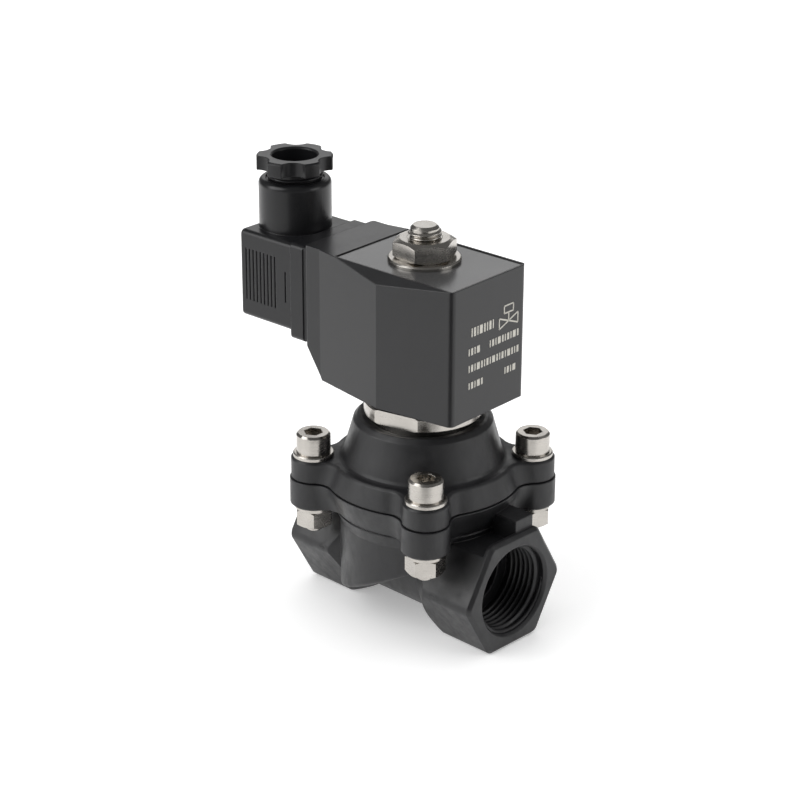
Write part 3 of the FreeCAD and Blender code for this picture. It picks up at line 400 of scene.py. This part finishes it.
PORT_PITCH, PORT_DEPTH = 1.814 * MM, 1.162 * MM
STUD_PITCH, STUD_ROOT, STUD_CREST, STUD_EDGE = 1.25 * MM, 4.1 * MM, 4.85 * MM, 0.7 * MM
SCREW_PITCH, SCREW_ROOT, SCREW_CREST, SCREW_TIP = 1.0 * MM, 2.45 * MM, 3.0 * MM, 0.2 * MM
WASHER_RADIUS = 6.0 * MM
GLAND_PITCH, GLAND_ROOT, GLAND_CREST = 1.3 * MM, 7.9 * MM, 8.5 * MM
GLAND_HEAD, GLAND_REACH = 4.2 * MM, 0.3 * MM


def helical_ridge(name, base, axis, root, crest, pitch, length):
    """A closed ridge wound round 'axis' from 'base'; a crest inside the root is an inner thread."""
    turn_frame = Vector(axis).to_track_quat("Z", "Y").to_matrix()
    turns = length / pitch - THREAD_SHARE
    count = int(turns * THREAD_STEPS) + 1
    sink = THREAD_SINK if root > crest else -THREAD_SINK
    vertices, faces = [], []
    for step in range(count):
        turn = step * turns / (count - 1)
        fade = min(1.0, turn / RUN_OUT, (turns - turn) / RUN_OUT)
        angle = 2.0 * math.pi * turn
        for index in range(THREAD_POINTS):
            across = index / (THREAD_POINTS - 1)
            height = 0.5 - 0.5 * math.cos(2.0 * math.pi * across)
            radius = root + sink + (crest - root - sink) * height * fade
            along = pitch * (turn + THREAD_SHARE * across)
            spot = Vector((radius * math.cos(angle), radius * math.sin(angle), along))
            vertices.append(Vector(base) + turn_frame @ spot)
    for step in range(count - 1):
        for index in range(THREAD_POINTS):
            after = (index + 1) % THREAD_POINTS
            low, high = step * THREAD_POINTS, (step + 1) * THREAD_POINTS
            quad = (low + index, low + after, high + after, high + index)
            faces.append(quad if root < crest else quad[::-1])
    first = tuple(range(THREAD_POINTS))
    last = tuple((count - 1) * THREAD_POINTS + index for index in first)
    faces += [first[::-1], last] if root < crest else [first, last[::-1]]
    return mesh_object(name, vertices, faces, smooth=True)


def add_port_threads():
    """Inner pipe threads in both ports, from the sizes that their mounts state."""
    for mount in frame["record"]["mounts"]:
        if mount["kind"] != "threaded_hole":
            continue
        axis, middle = Vector(mount["axis"]), Vector(mount["pos_m"])
        root, length = mount["dims"]["r_mm"] * MM, mount["dims"]["length_mm"] * MM
        base = middle - axis * length / 2
        piece = helical_ridge(mount["name"] + "_thread", base, axis, root, root - PORT_DEPTH,
                              PORT_PITCH, length)
        dress(piece, "valve", "nylon_black")


def add_stud_thread():
    bottom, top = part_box("coil_nut")[1].z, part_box("fixed_core")[1].z
    base = (0.0, 0.0, bottom - STUD_PITCH / 2)
    length = top - STUD_EDGE - bottom + STUD_PITCH / 2
    piece = helical_ridge("stud_thread", base, (0, 0, 1), STUD_ROOT, STUD_CREST, STUD_PITCH, length)
    dress(piece, "valve", "stainless")


def add_screw_threads():
    """The ends of the flange screws that show below their nuts."""
    low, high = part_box("flange_screws")[0].z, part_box("flange_nuts")[0].z
    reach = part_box("flange_washers")[1].x - WASHER_RADIUS
    for number, (x, y) in enumerate(((1, 1), (-1, 1), (-1, -1), (1, -1)), start=1):
        base = (x * reach, y * reach, low + SCREW_TIP)
        piece = helical_ridge(f"flange_screw_thread_{number}", base, (0, 0, 1), SCREW_ROOT,
                              SCREW_CREST, SCREW_PITCH, high - low)
        dress(piece, "valve", "stainless")


def add_gland_thread():
    """The stretch of thread between the gland nut's lobes and the plug's collar."""
    low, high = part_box("gland_nut")
    bottom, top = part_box("connector_housing")[1].z, high.z - GLAND_HEAD
    middle = (low + high) / 2
    base = (middle.x, middle.y, bottom - GLAND_REACH)
    piece = helical_ridge("gland_nut_thread", base, (0, 0, 1), GLAND_ROOT, GLAND_CREST,
                          GLAND_PITCH, top - bottom + GLAND_REACH)
    dress(piece, "gland_nut", "connector_black")


# ---------------------------------------------------------------- springs

SPRING_STEPS = 40          # straight steps in one turn of a spring
SPRING_SIDES = 12          # sides of its wire
# node, wire, turns, the joint that squeezes it and how far that joint goes
SPRINGS = (("diaphragm_spring", 1.1 * MM, 4, "diaphragm_lift", 4.5 * MM),
           ("plunger_spring", 0.8 * MM, 9, "plunger_lift", 6.0 * MM))


def wire_spring(name, radius, wire, bottom, top, turns):
    """A compression spring of round wire about the armature axis, its end coils closed."""
    count = turns * SPRING_STEPS
    open_pitch = (top - bottom - 3.0 * wire) / (turns - 2)
    vertices, faces = [], []
    for step in range(count + 1):
        turn = step / SPRING_STEPS
        closed = min(turn, 1.0) + max(turn - turns + 1, 0.0)
        height = bottom + wire / 2 + closed * wire + (turn - closed) * open_pitch
        angle = 2.0 * math.pi * turn
        outward = Vector((math.cos(angle), math.sin(angle), 0.0))
        for side in range(SPRING_SIDES):
            round_wire = 2.0 * math.pi * side / SPRING_SIDES
            reach = radius + wire / 2 * math.cos(round_wire)
            level = height + wire / 2 * math.sin(round_wire)
            vertices.append(outward * reach + Vector((0.0, 0.0, level)))
    for step in range(count):
        low, high = step * SPRING_SIDES, (step + 1) * SPRING_SIDES
        for side in range(SPRING_SIDES):
            after = (side + 1) % SPRING_SIDES
            faces.append((low + side, high + side, high + after, low + after))
    first = tuple(range(SPRING_SIDES))
    faces += [first, tuple(count * SPRING_SIDES + side for side in first[::-1])]
    return mesh_object(name, vertices, faces, smooth=True)


def add_springs():
    """The two springs made again, with closed ends."""
    for node, wire, turns, joint, lift in SPRINGS:
        low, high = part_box(node)
        piece = wire_spring(node + "_coils", high.x - wire / 2, wire, low.z, high.z, turns)
        dress(piece, "valve", "stainless")
        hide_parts(node)
        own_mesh(piece)


# ---------------------------------------------------------------- diaphragm

WEB_SECTORS = 24           # the web flexes along its radius on the real valve; here it is made in sectors
RING_STEPS = 96            # straight steps in a full ring
# outlines of (radius, height) in millimetres on the closed valve, in order round the section
RIM_OUTLINE = ((21.2, 22.8), (21.4, 22.7), (24.2, 22.7), (24.4, 22.9), (24.4, 24.5), (24.2, 24.7),
               (21.4, 24.7), (21.2, 24.5))
DISC_OUTLINE = ((3.4, 20.4), (13.0, 20.4), (13.3, 20.7), (13.3, 23.1), (13.0, 23.4), (3.4, 23.4))
WEB_OUTLINE = ((13.1, 21.0), (14.0, 22.5), (14.8, 23.0), (16.5, 23.1), (21.3, 23.1), (21.3, 24.4),
               (16.0, 24.4), (14.4, 24.1), (13.5, 23.3), (13.1, 22.6))


def turned_section(name, outline, start, end):
    """An outline of (radius, height) swept about the armature axis between two angles."""
    whole = end - start > 2.0 * math.pi - 0.001
    steps = max(4, round(RING_STEPS * (end - start) / (2.0 * math.pi)))
    count = len(outline)
    stops = steps if whole else steps + 1
    vertices, faces = [], []
    for stop in range(stops):
        angle = start + (end - start) * stop / steps
        vertices += [(r * MM * math.cos(angle), r * MM * math.sin(angle), z * MM) for r, z in outline]
    for stop in range(steps):
        low, high = stop * count, (stop + 1) % stops * count
        for index in range(count):
            after = (index + 1) % count
            faces.append((low + index, high + index, high + after, low + after))
    if not whole:
        first = tuple(range(count))
        faces += [first, tuple(steps * count + index for index in first[::-1])]
    return mesh_object(name, vertices, faces, smooth=True)


def add_diaphragm():
    """A clamped rim, a centre disc that rides on the diaphragm body, and a web in sectors between them."""
    full = 2.0 * math.pi
    rim = turned_section("diaphragm_rim", RIM_OUTLINE, 0.0, full)
    dress(rim, "valve", "seal_rubber")
    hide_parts("diaphragm")
    dress(turned_section("diaphragm_disc", DISC_OUTLINE, 0.0, full), "diaphragm_set", "seal_rubber")
    for number in range(WEB_SECTORS):
        start, end = full * number / WEB_SECTORS, full * (number + 1) / WEB_SECTORS
        web = turned_section(f"diaphragm_web_{number + 1}", WEB_OUTLINE, start, end)
        web.data.materials.append(finishes["seal_rubber"])
        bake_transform(web)


# ---------------------------------------------------------------- printing on the coil

INK_RAISE = 0.04 * MM
TICK_WIDTHS = (0.5, 0.9, 0.5, 1.3, 0.7)
TICK_GAP = 0.55
# rows of ticks, each from y to y and from z to z, in millimetres on the coil's own front face
TICK_ROWS = ((-7.7, 2.5, 76.7, 79.3), (-8.8, -2.8, 71.3, 73.4), (0.3, 13.2, 71.3, 73.4),
             (-8.7, 13.4, 66.3, 68.4), (-8.6, -2.1, 61.2, 63.2), (7.1, 13.1, 61.2, 63.2))
# a schematic valve with its coil, drawn in strokes from (y, z) to (y, z)
SYMBOL = (((4.4, 75.4), (4.4, 78.6)), ((12.6, 75.4), (12.6, 78.6)), ((4.4, 75.4), (12.6, 78.6)),
          ((4.4, 78.6), (12.6, 75.4)), ((8.5, 77.0), (8.5, 79.6)), ((6.5, 79.6), (10.5, 79.6)),
          ((6.5, 81.8), (10.5, 81.8)), ((6.5, 79.6), (6.5, 81.8)), ((10.5, 79.6), (10.5, 81.8)))
SYMBOL_STROKE = 0.45
# faces of a stroke: its first four corners lie in the housing, the other four stand out
STROKE_FACES = ((4, 5, 6, 7), (3, 2, 1, 0), (0, 1, 5, 4), (1, 2, 6, 5), (2, 3, 7, 6), (3, 0, 4, 7))


def coil_face(normal):
    """How far the flat front of the coil housing stands from the armature axis."""
    housing = frame["nodes"]["coil_housing"]
    return max(normal.dot(housing.matrix_world @ v.co) for v in housing.data.vertices)


def tick_strokes(left, right, low, high):
    """A row of upright ticks of changing width, as (start, end, width) in millimetres."""
    strokes, spot = [], left
    for width in itertools.cycle(TICK_WIDTHS):
        if spot + width > right:
            return strokes
        middle = spot + width / 2
        strokes.append(((middle, low), (middle, high), width))
        spot += width + TICK_GAP


def add_printing():
    """Generic marks where the real coil carries its rating: ticks and a schematic symbol."""
    pull = next(j for j in frame["joints"] if j["name"] == "connector_unplug")
    turned = Matrix.Rotation(math.atan2(-pull["axis"][1], -pull["axis"][0]), 3, "Z")
    face = coil_face(turned @ Vector((1.0, 0.0, 0.0)))
    strokes = [(start, end, SYMBOL_STROKE) for start, end in SYMBOL]
    for row in TICK_ROWS:
        strokes += tick_strokes(*row)
    vertices, faces = [], []
    for start, end, width in strokes:
        first, last = Vector(start), Vector(end)
        side = (last - first).orthogonal().normalized() * width / 2
        corners = (first + side, first - side, last - side, last + side)
        base = len(vertices)
        for depth in (-INK_RAISE, INK_RAISE):
            vertices += [turned @ Vector((face + depth, c.x * MM, c.y * MM)) for c in corners]
        faces += [tuple(base + i for i in quad) for quad in STROKE_FACES]
    dress(mesh_object("coil_printing", vertices, faces), "coil", "bobbin_nylon")


add_camera()
add_floor()
add_studio()
finishes = make_finishes()
dress_nodes()
add_port_threads()
add_stud_thread()
add_screw_threads()
add_gland_thread()
add_springs()
add_diaphragm()
add_printing()
